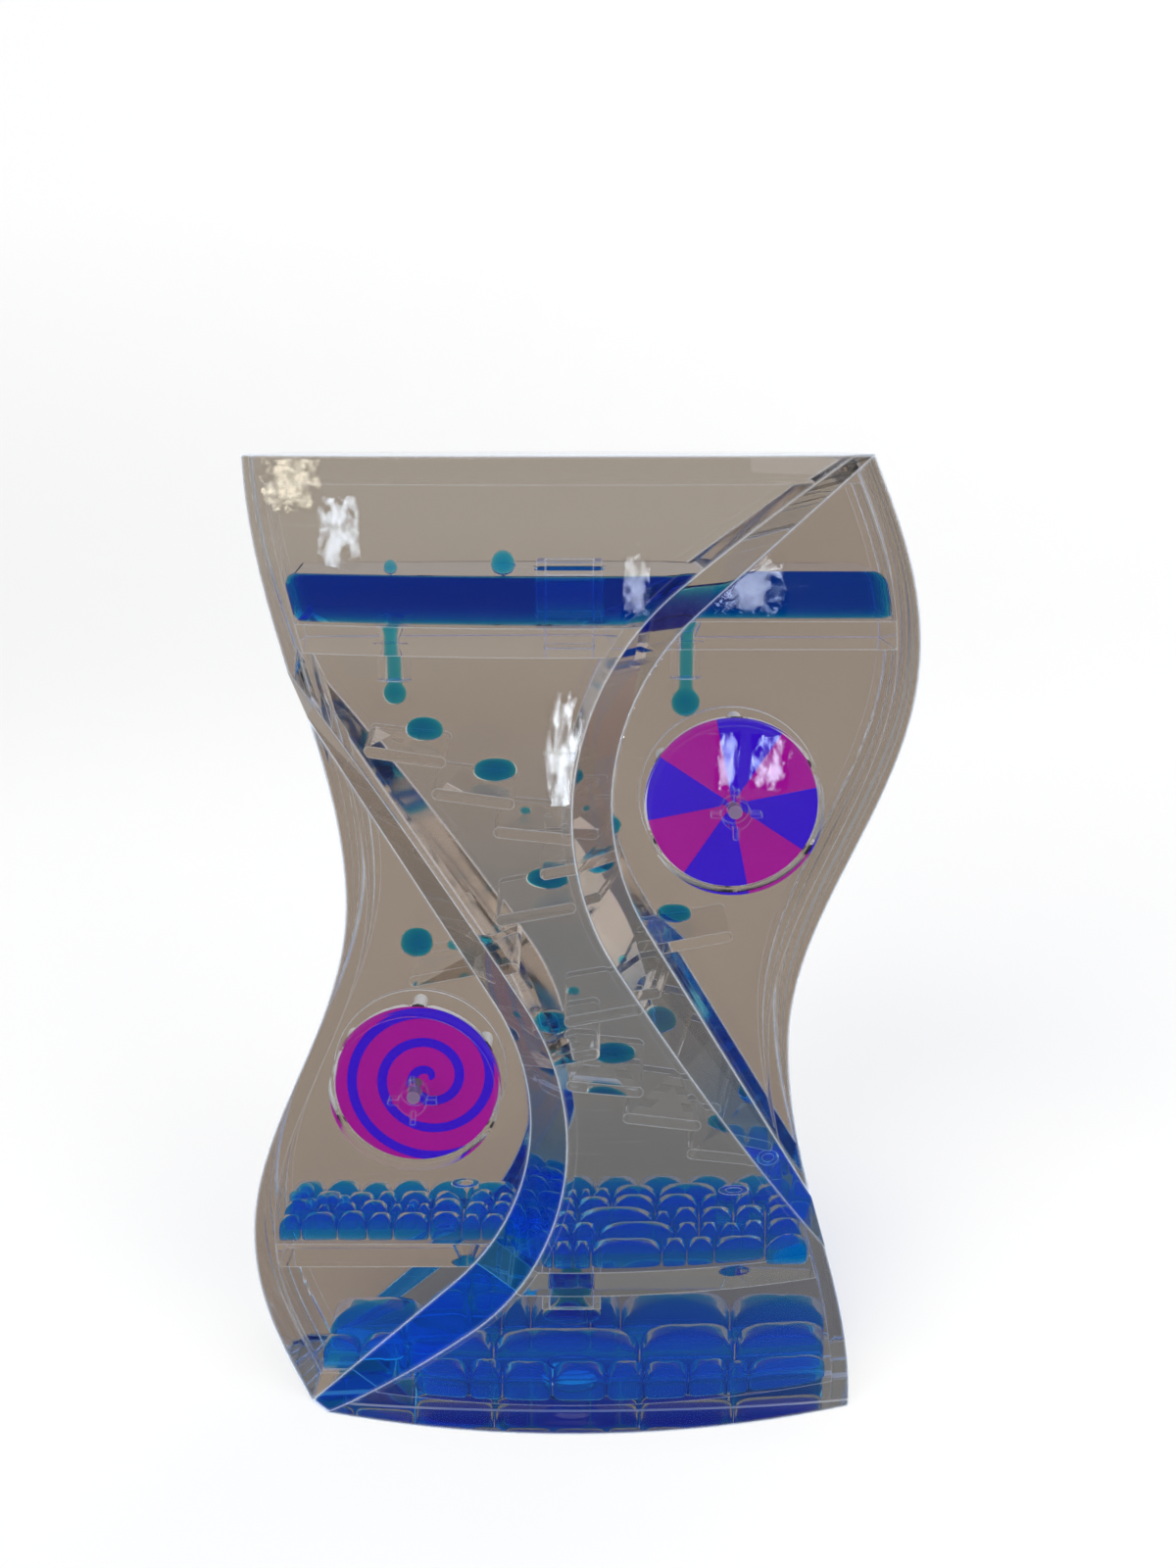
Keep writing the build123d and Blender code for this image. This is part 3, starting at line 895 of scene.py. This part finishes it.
def add_cells(shape, node_name, rows, seed):
    """Fills a CAD pool with rows of water cells that press against each other with oil between them."""
    tree = surface_tree(node_name)
    low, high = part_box(node_name)
    rng = np.random.default_rng(seed)
    count = 44
    film = 0.04 * MM
    full_width = 2.5 * MM  # half width from which a cell reaches its full height
    foot_power = 10.0
    crest_power = 2.1
    for front, back, share, edges in rows:
        for left, right in zip(edges, edges[1:]):
            x = (left + right) / 2 * MM
            y = (front + back) / 2 * MM
            width = (right - left) / 2 * MM - film
            depth = (back - front) / 2 * MM - film
            crest = (high.z - low.z) * share * rng.uniform(0.88, 1.0)
            crest *= min(1.0, 0.7 + 0.3 * width / full_width)
            heights = (low.z + 0.1 * MM, low.z + crest / 2, low.z + crest * 0.98)
            sides = [side_reach(width, turn, count) for turn in (0.0, pi)]
            sides += [side_reach(depth, turn, count) for turn in (pi / 2, -pi / 2)]
            reach = soft_min([*sides, wall_reach(tree, x, y, heights, count)])
            add_blob(shape, (x, y), reach, low.z, low.z + crest, foot_power, crest_power)


def add_beads(shape, node_name, beads):
    """Small drops that sink onto the water already there, or the pool's floor, as x, y and radius."""
    low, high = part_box(node_name)
    step = 0.05 * MM
    for x, y, radius in beads:
        tree = BVHTree.FromBMesh(shape)
        radius *= MM
        centre = Vector((x * MM, y * MM, high.z + 4 * radius))
        while centre.z > low.z + radius and tree.find_nearest(centre)[3] > radius + step:
            centre.z -= step
        add_blob(shape, centre.xy, np.full(20, radius), centre.z - radius, centre.z + radius, steps=10)


def add_slab(shape, node_name, hole, crest_round, foot_round):
    """Broad pool with rounded edges round a square standpipe."""
    tree = surface_tree(node_name)
    low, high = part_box(node_name)
    count = 160
    inner = soft_min([side_reach(hole, turn, count) for turn in (0.0, pi / 2, pi, -pi / 2)])
    skin = 0.1 * MM
    lean = [outer_reach(tree, z, count) for z in (low.z + skin, high.z - skin)]
    flat_share = 0.95  # of the way out, where the rounded edges start
    rings = []

    def add_ring(share, inset, z):
        outer = lean[0] + (lean[1] - lean[0]) * (z - low.z) / (high.z - low.z)
        rings.append(level_ring(0.0, 0.0, z, inner + (outer - inset - inner) * share))

    for share in np.linspace(0.0, flat_share, 8):
        add_ring(share, 0.0, high.z)
    for turn in np.linspace(0.0, pi / 2, 7):
        add_ring(1.0, crest_round * (1 - sin(turn)), high.z - crest_round * (1 - cos(turn)))
    for turn in np.linspace(pi / 2, 0.0, 5):
        add_ring(1.0, foot_round * (1 - sin(turn)), low.z + foot_round * (1 - cos(turn)))
    for share in np.linspace(flat_share, 0.0, 8):
        add_ring(share, 0.0, low.z)
    join_rings(shape, rings, closed=True)


def add_column(shape, x, y, profile):
    """Upright column from heights, radii and powers; a power of 2 is round and a high one square."""
    rings = []
    angles = around(36)
    for z, radius, power in profile:
        spread = (np.abs(np.cos(angles)) ** power + np.abs(np.sin(angles)) ** power) ** (1 / power)
        rings.append(level_ring(x, y, z, radius / spread))
    join_rings(shape, rings)


def stream_profile(low, high, sizes):
    """Water that fills a nozzle's funnel, threads its bore and swells into a bulb below the tip."""
    bulb = (high.x - low.x) / 2
    bulb_z = low.z + bulb
    blend = 5  # power that joins the three forms smoothly
    least = 0.05 * MM
    profile = []
    for z in np.linspace(low.z + 0.02 * MM, high.z, 48):
        swell = np.sqrt(max(bulb**2 - (z - bulb_z) ** 2, 0.0))
        thread = sizes.thread if z > bulb_z else 0.0
        funnel = sizes.funnel * max(0.0, 1 - (high.z - z) / sizes.funnel_depth)
        radius = (swell**blend + thread**blend + funnel**blend) ** (1 / blend)
        profile.append((z, max(radius, least), 2.0))
    return profile


def islands(name):
    """Lowest and highest corners of the separate solids of a CAD node, from left to right."""
    shape = bmesh.new()
    shape.from_mesh(NODES[name].data)
    bmesh.ops.remove_doubles(shape, verts=shape.verts, dist=1e-7)
    seen = set()
    boxes = []
    for first in shape.verts:
        if first in seen:
            continue
        group = [first]
        seen.add(first)
        for vertex in group:
            for edge in vertex.link_edges:
                other = edge.other_vert(vertex)
                if other not in seen:
                    seen.add(other)
                    group.append(other)
        points = np.array([vertex.co for vertex in group])
        boxes.append((points.min(axis=0), points.max(axis=0)))
    shape.free()
    return sorted(boxes, key=lambda box: tuple(box[0]))


def add_rolling_drops(shape, seed):
    """Drops on the ledges, each a little uneven, in the place of its round CAD solid."""
    rng = np.random.default_rng(seed)
    angles = around(32)
    for low, high in islands("ledge_drops"):
        x, y, _ = (low + high) / 2
        two, three = rng.uniform(0.0, 2 * pi, 2)
        uneven = 1.06 + 0.06 * np.sin(2 * angles + two) + 0.04 * np.sin(3 * angles + three)
        add_blob(shape, (x, y), (high[0] - low[0]) / 2 * uneven, low[2], high[2], 2.0, 2.3)


# Stage


def seen_directly(tree):
    """1 for the rays that show the background: from the camera, through glass or off a polish."""
    path = node(tree, "ShaderNodeLightPath")
    seen = calc(tree, "MAXIMUM", path.outputs["Is Camera Ray"], path.outputs["Is Transmission Ray"])
    return calc(tree, "MAXIMUM", seen, path.outputs["Is Glossy Ray"])


def soft_lamp(name, place, target, size, power):
    """Soft rectangular lamp that faces a point."""
    lamp = bpy.data.lights.new(name, "AREA")
    lamp.shape = "RECTANGLE"
    lamp.size, lamp.size_y = size
    lamp.energy = power
    lamp_object = bpy.data.objects.new(name, lamp)
    lamp_object.location = place
    lamp_object.rotation_euler = (Vector(target) - Vector(place)).to_track_quat("-Z", "Y").to_euler()
    lamp_object.visible_transmission = False
    bpy.context.scene.collection.objects.link(lamp_object)


def far_window(name, place, target, size, strength, warmth):
    """Card with the light of a far window and leaves before it, seen only as a reflection."""
    material, tree, output = new_material(name)
    point = object_point(tree)
    variety = 7 * place[0] + strength  # so that no two windows are alike
    leaves = node(
        tree,
        "ShaderNodeTexNoise",
        {"Vector": point, "Scale": 2.2, "Detail": 5.0, "Roughness": 0.75, "W": variety},
        noise_dimensions="4D",
    )
    off_middle = node(tree, "ShaderNodeVectorMath", {0: point}, operation="LENGTH").outputs["Value"]
    fade = calc(tree, "MULTIPLY", calc(tree, "POWER", off_middle, 3.0), 0.12)
    open_share = calc(tree, "SUBTRACT", leaves.outputs["Fac"], fade)
    gaps = node(tree, "ShaderNodeMapRange", {"Value": open_share, "From Min": 0.4, "From Max": 0.55})
    sky = (0.78 + 0.22 * warmth, 0.89, 1.0 - 0.35 * warmth, 1.0)
    bright = calc(tree, "MULTIPLY", gaps.outputs[0], strength)
    light = node(tree, "ShaderNodeEmission", {"Color": sky, "Strength": bright})
    tree.links.new(light.outputs[0], output.inputs["Surface"])
    rng = np.random.default_rng(len(name) + round(strength * 10))

    def build(shape):
        corners = []
        for angle in around(24):
            stretch = 1 / max(abs(cos(angle)), abs(sin(angle)))
            reach = stretch * rng.uniform(0.82, 1.0)
            corners.append(shape.verts.new((reach * cos(angle), reach * sin(angle), 0.0)))
        shape.faces.new(corners)

    mesh = mesh_of(name, build)
    mesh.materials.append(material)
    card = bpy.data.objects.new(name, mesh)
    card.location = place
    card.scale = (size[0] / 2, size[1] / 2, 1.0)
    card.rotation_euler = (Vector(target) - Vector(place)).to_track_quat("Z", "Y").to_euler()
    card.visible_camera = False
    card.visible_transmission = False
    bpy.context.scene.collection.objects.link(card)


class TIMER_OT_case(bpy.types.Operator):
    """Dress the shells, partitions, axles and plug in clear acrylic"""

    bl_idname = "timer.case"
    bl_label = "Clear case"

    def execute(self, context):
        clear = {name: acrylic_inside(name) for name in CLEAR_PLASTIC if name.startswith("acrylic")}
        self.shells(context.scene.timer_colours, clear)
        pin = frosted_pin()
        for name in CASE_INSIDES:
            dress_node(name, (clear["acrylic_shelves"],))
        for wheel in WHEELS:
            dress_node(f"{wheel}_axle", (pin,))
            dress_node(f"{wheel}_lens", (clear["acrylic_discs"],))
            dress_node(f"{wheel}_flange", (clear["acrylic_ledges"],))
        return {"FINISHED"}

    def shells(self, colours, clear):
        """Front and rear shell, with a material for each kind of face."""
        # Painted light: the walls and steps are tinted blue low down for the glow of the water
        painted_foot_glow = [part**FOOT_POWER for part in colours.painted_wall_glow]
        wall_stops_with_painted_glow = list(zip(WALL_HEIGHTS, (painted_foot_glow, colours.painted_wall_glow, colours.wall_tint)))
        # The side walls also get painted highlights, as pale streaks along them
        walls = acrylic_outside("acrylic_walls", stops=wall_stops_with_painted_glow, painted_streaks=True)
        # The rear bulge's tint: painted shade low down, its own smoky tint, painted light at the top
        bulge_stops_with_painted_light = list(zip(BULGE_HEIGHTS, (colours.rear_painted_shade, colours.rear_tint, colours.rear_top_painted_light)))
        bulges = (
            acrylic_outside("front_shell_bulge", colours.front_tint),
            acrylic_outside("rear_shell_bulge", stops=bulge_stops_with_painted_light),
        )
        tints = (colours.front_tint, colours.rear_tint)
        steps = (colours.front_step, colours.rear_step)
        # Painted light: the rear steps' blue glow, dimmed by their tint
        painted_rear_step_glow = [glow * tint for glow, tint in zip(colours.painted_step_glow, colours.rear_step)]
        painted_step_glows = (colours.painted_step_glow, painted_rear_step_glow)
        moulded = (clear["acrylic_bosses"], clear["acrylic_ledges"])
        seam = bonded_seam()
        seam_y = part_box("front_shell")[1].y
        trees = {name: surface_tree(name) for name in SHELLS}
        axles = [sum(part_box(f"{wheel}_axle"), Vector()) / 2 for wheel in WHEELS]
        for k, (name, other) in enumerate(zip(SHELLS, SHELLS[::-1])):
            step_stops_with_painted_glow = list(zip(STEP_HEIGHTS, (painted_step_glows[k], steps[k])))
            materials = {
                WINDOW: acrylic_outside(f"{name}_window", tints[k]),
                INSIDE: clear["acrylic_inside"],
                SEAM: seam,
                WALL: walls,
                STEP: acrylic_step(f"{name}_step", step_stops_with_painted_glow, STEP_HAZE[k]),
                MOULDED: moulded[k],
                BULGE: bulges[k],
            }
            piece = dress_node(name, [materials[side] for side in sorted(materials)])
            for face in piece.data.polygons:
                side = shell_side(face, trees[name], trees[other], seam_y)
                if name == "front_shell" and side == INSIDE and on_boss(face.center, axles):
                    side = MOULDED
                face.material_index = side


class TIMER_OT_wheels(bpy.types.Operator):
    """Print the wheel faces and dress the white paddle wheels"""

    bl_idname = "timer.wheels"
    bl_label = "Printed wheels"

    def execute(self, context):
        colours = context.scene.timer_colours
        white = white_plastic(colours)
        dress_node("pinwheel_label", (pinwheel_print(colours),))
        dress_node("spiral_wheel_label", (spiral_print(colours),))
        clear = acrylic_inside("rotor_rim")
        for wheel in WHEELS:
            rotor = dress_node(f"{wheel}_rotor", (white, clear))
            low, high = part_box(f"{wheel}_label")
            for face in rotor.data.polygons:
                off = face.center - (low + high) / 2
                rim = off.y < ROTOR_RIM and hypot(off.x, off.z) > (high.x - low.x) / 2
                face.material_index = 1 if rim or face.normal.y < -WINDOW_FACING else 0
        return {"FINISHED"}


class TIMER_OT_water(bpy.types.Operator):
    """Build the dyed water: pools, streams and drops"""

    bl_idname = "timer.water"
    bl_label = "Dyed water"

    def execute(self, context):
        sizes = context.scene.timer_sizes
        self.colours = context.scene.timer_colours
        self.pools(sizes)
        self.material = blue_water("drop_water", self.colours)
        self.streams(sizes)
        self.piece("ledge_drops", lambda shape: add_rolling_drops(shape, DROP_SEED))
        return {"FINISHED"}

    def piece(self, node_name, build):
        """Water in place of a CAD node."""
        name = f"{node_name}_water"
        made = link_piece(name, mesh_of(name, build), self.material, "case")
        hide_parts(node_name)

    def pools(self, sizes):
        """Smooth upper pool, and two pools of cells with beads on them."""

        def upper(shape):
            add_slab(shape, "upper_pool", sizes.pipe_half, sizes.pool_round, sizes.pool_foot_round)
            add_beads(shape, "upper_pool", UPPER_BEADS)

        def middle(shape):
            add_cells(shape, "middle_pool", MIDDLE_ROWS, MIDDLE_SEED)
            add_beads(shape, "middle_pool", MIDDLE_BEADS)

        def bottom(shape):
            add_cells(shape, "bottom_pool", BOTTOM_ROWS, BOTTOM_SEED)

        for (name, looks), build in zip(POOL_LOOKS.items(), (upper, middle, bottom)):
            self.material = blue_water(f"{name}_water", self.colours, *looks)
            self.piece(name, build)

    def streams(self, sizes):
        """Two streams from the nozzles, and the column that drains to the bottom."""
        for name in ("left_stream", "right_stream"):
            low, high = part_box(name)
            middle = (low + high) / 2
            profile = stream_profile(low, high, sizes)
            self.piece(name, lambda shape: add_column(shape, middle.x, middle.y, profile))
        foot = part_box("drain_stream")[0].z
        column = [(foot + z * MM, radius * MM, power) for z, radius, power in DRAIN_PROFILE]
        self.piece("drain_stream", lambda shape: add_column(shape, 0.0, 0.0, column))


class TIMER_OT_stage(bpy.types.Operator):
    """Set up the pale floor and backdrop, the soft lamps and the camera"""

    bl_idname = "timer.stage"
    bl_label = "Stage"

    def execute(self, context):
        scene = context.scene
        colours = scene.timer_colours
        self.backdrop(colours)
        self.light(scene)
        self.camera(scene)
        return {"FINISHED"}

    def backdrop(self, colours):
        """Floor that curves up into a backdrop."""
        material, tree, output = new_material("pale_backdrop")
        grain = between(tree, noise(tree, 30.0, 4.0), 0.8, 1.0)
        paper = node(tree, "ShaderNodeBsdfDiffuse", {"Color": opaque(colours.floor), "Roughness": grain})
        height = node(tree, "ShaderNodeSeparateXYZ", {"Vector": object_point(tree)}).outputs["Z"]
        level = node(
            tree,
            "ShaderNodeMapRange",
            {"Value": height, "From Max": BEND_RADIUS, "To Min": FLOOR_WHITE, "To Max": BACKDROP_WHITE},
        )
        white = calc(tree, "MULTIPLY", seen_directly(tree), level.outputs[0])
        glow = node(tree, "ShaderNodeEmission", {"Color": (1.0, 1.0, 1.0, 1.0), "Strength": white})
        both = node(tree, "ShaderNodeAddShader")
        tree.links.new(paper.outputs[0], both.inputs[0])
        tree.links.new(glow.outputs[0], both.inputs[1])
        tree.links.new(both.outputs[0], output.inputs["Surface"])

        def build(shape):
            profile = [(-FLOOR_HALF, 0.0), (BEND_START, 0.0)]
            for step in range(1, BEND_STEPS + 1):
                angle = step / BEND_STEPS * pi / 2
                profile.append((BEND_START + BEND_RADIUS * sin(angle), BEND_RADIUS * (1 - cos(angle))))
            profile.append((BEND_START + BEND_RADIUS, BACKDROP_TOP))
            sides = []
            for x in (-FLOOR_HALF, FLOOR_HALF):
                sides.append([shape.verts.new((x, y, z - FLOOR_GAP)) for y, z in profile])
            for i in range(len(profile) - 1):
                shape.faces.new((sides[0][i], sides[1][i], sides[1][i + 1], sides[0][i + 1]))

        mesh = mesh_of("backdrop", build)
        mesh.materials.append(material)
        mesh.polygons.foreach_set("use_smooth", [True] * len(mesh.polygons))
        backdrop = bpy.data.objects.new("backdrop", mesh)
        bpy.context.scene.collection.objects.link(backdrop)

    def light(self, scene):
        """World and lamps."""
        world = bpy.data.worlds.new("studio")
        world.use_nodes = True
        tree = world.node_tree
        background = tree.nodes["Background"]
        background.inputs["Color"].default_value = WORLD_COLOUR
        strength = calc(tree, "MULTIPLY_ADD", seen_directly(tree), WORLD_SEEN)
        strength.node.inputs[2].default_value = WORLD_LIGHT
        tree.links.new(strength, background.inputs["Strength"])
        scene.world = world
        for name, place, size, power in LAMPS:
            soft_lamp(name, place, LIT_POINT, size, power)
        for number, (place, size, power, warmth) in enumerate(FAR_WINDOWS):
            far_window(f"far_window_{number}", place, LIT_POINT, size, power, warmth)

    def camera(self, scene):
        """Camera at the photograph's place and angle."""
        camera = bpy.data.cameras.new("camera")
        camera.sensor_width = SENSOR
        camera.lens = FOCAL_LENGTH / PICTURE_HEIGHT * SENSOR
        camera_object = bpy.data.objects.new("camera", camera)
        camera_object.location = CAMERA_PLACE
        camera_object.rotation_euler = (radians(90 - CAMERA_PITCH), 0.0, 0.0)
        scene.collection.objects.link(camera_object)
        scene.camera = camera_object
        scene.view_settings.view_transform = "Standard"
        scene.cycles.max_bounces = 32
        scene.cycles.transmission_bounces = 32
        scene.cycles.glossy_bounces = 8
        scene.cycles.transparent_max_bounces = 48
        scene.cycles.caustics_reflective = False
        scene.cycles.caustics_refractive = False


class TIMER_PT_panel(bpy.types.Panel):
    """Buttons and values of the timer"""

    bl_label = "Liquid motion timer"
    bl_idname = "TIMER_PT_panel"
    bl_space_type = "VIEW_3D"
    bl_region_type = "UI"
    bl_category = "Timer"

    def draw(self, context):
        for operator in OPERATORS:
            self.layout.operator(operator.bl_idname)
        for group in (context.scene.timer_colours, context.scene.timer_sizes):
            for name in group.bl_rna.properties.keys():
                if name not in ("name", "rna_type"):
                    self.layout.prop(group, name)


OPERATORS = (TIMER_OT_case, TIMER_OT_wheels, TIMER_OT_water, TIMER_OT_stage)
CLASSES = (TimerColours, TimerSizes, *OPERATORS, TIMER_PT_panel)


def register():
    for cls in CLASSES:
        bpy.utils.register_class(cls)
    bpy.types.Scene.timer_colours = PointerProperty(type=TimerColours)
    bpy.types.Scene.timer_sizes = PointerProperty(type=TimerSizes)


def unregister():
    del bpy.types.Scene.timer_sizes
    del bpy.types.Scene.timer_colours
    for cls in reversed(CLASSES):
        bpy.utils.unregister_class(cls)


def main():
    register()
    bpy.ops.timer.case()
    bpy.ops.timer.wheels()
    bpy.ops.timer.water()
    bpy.ops.timer.stage()


if __name__ == "__main__":
    main()
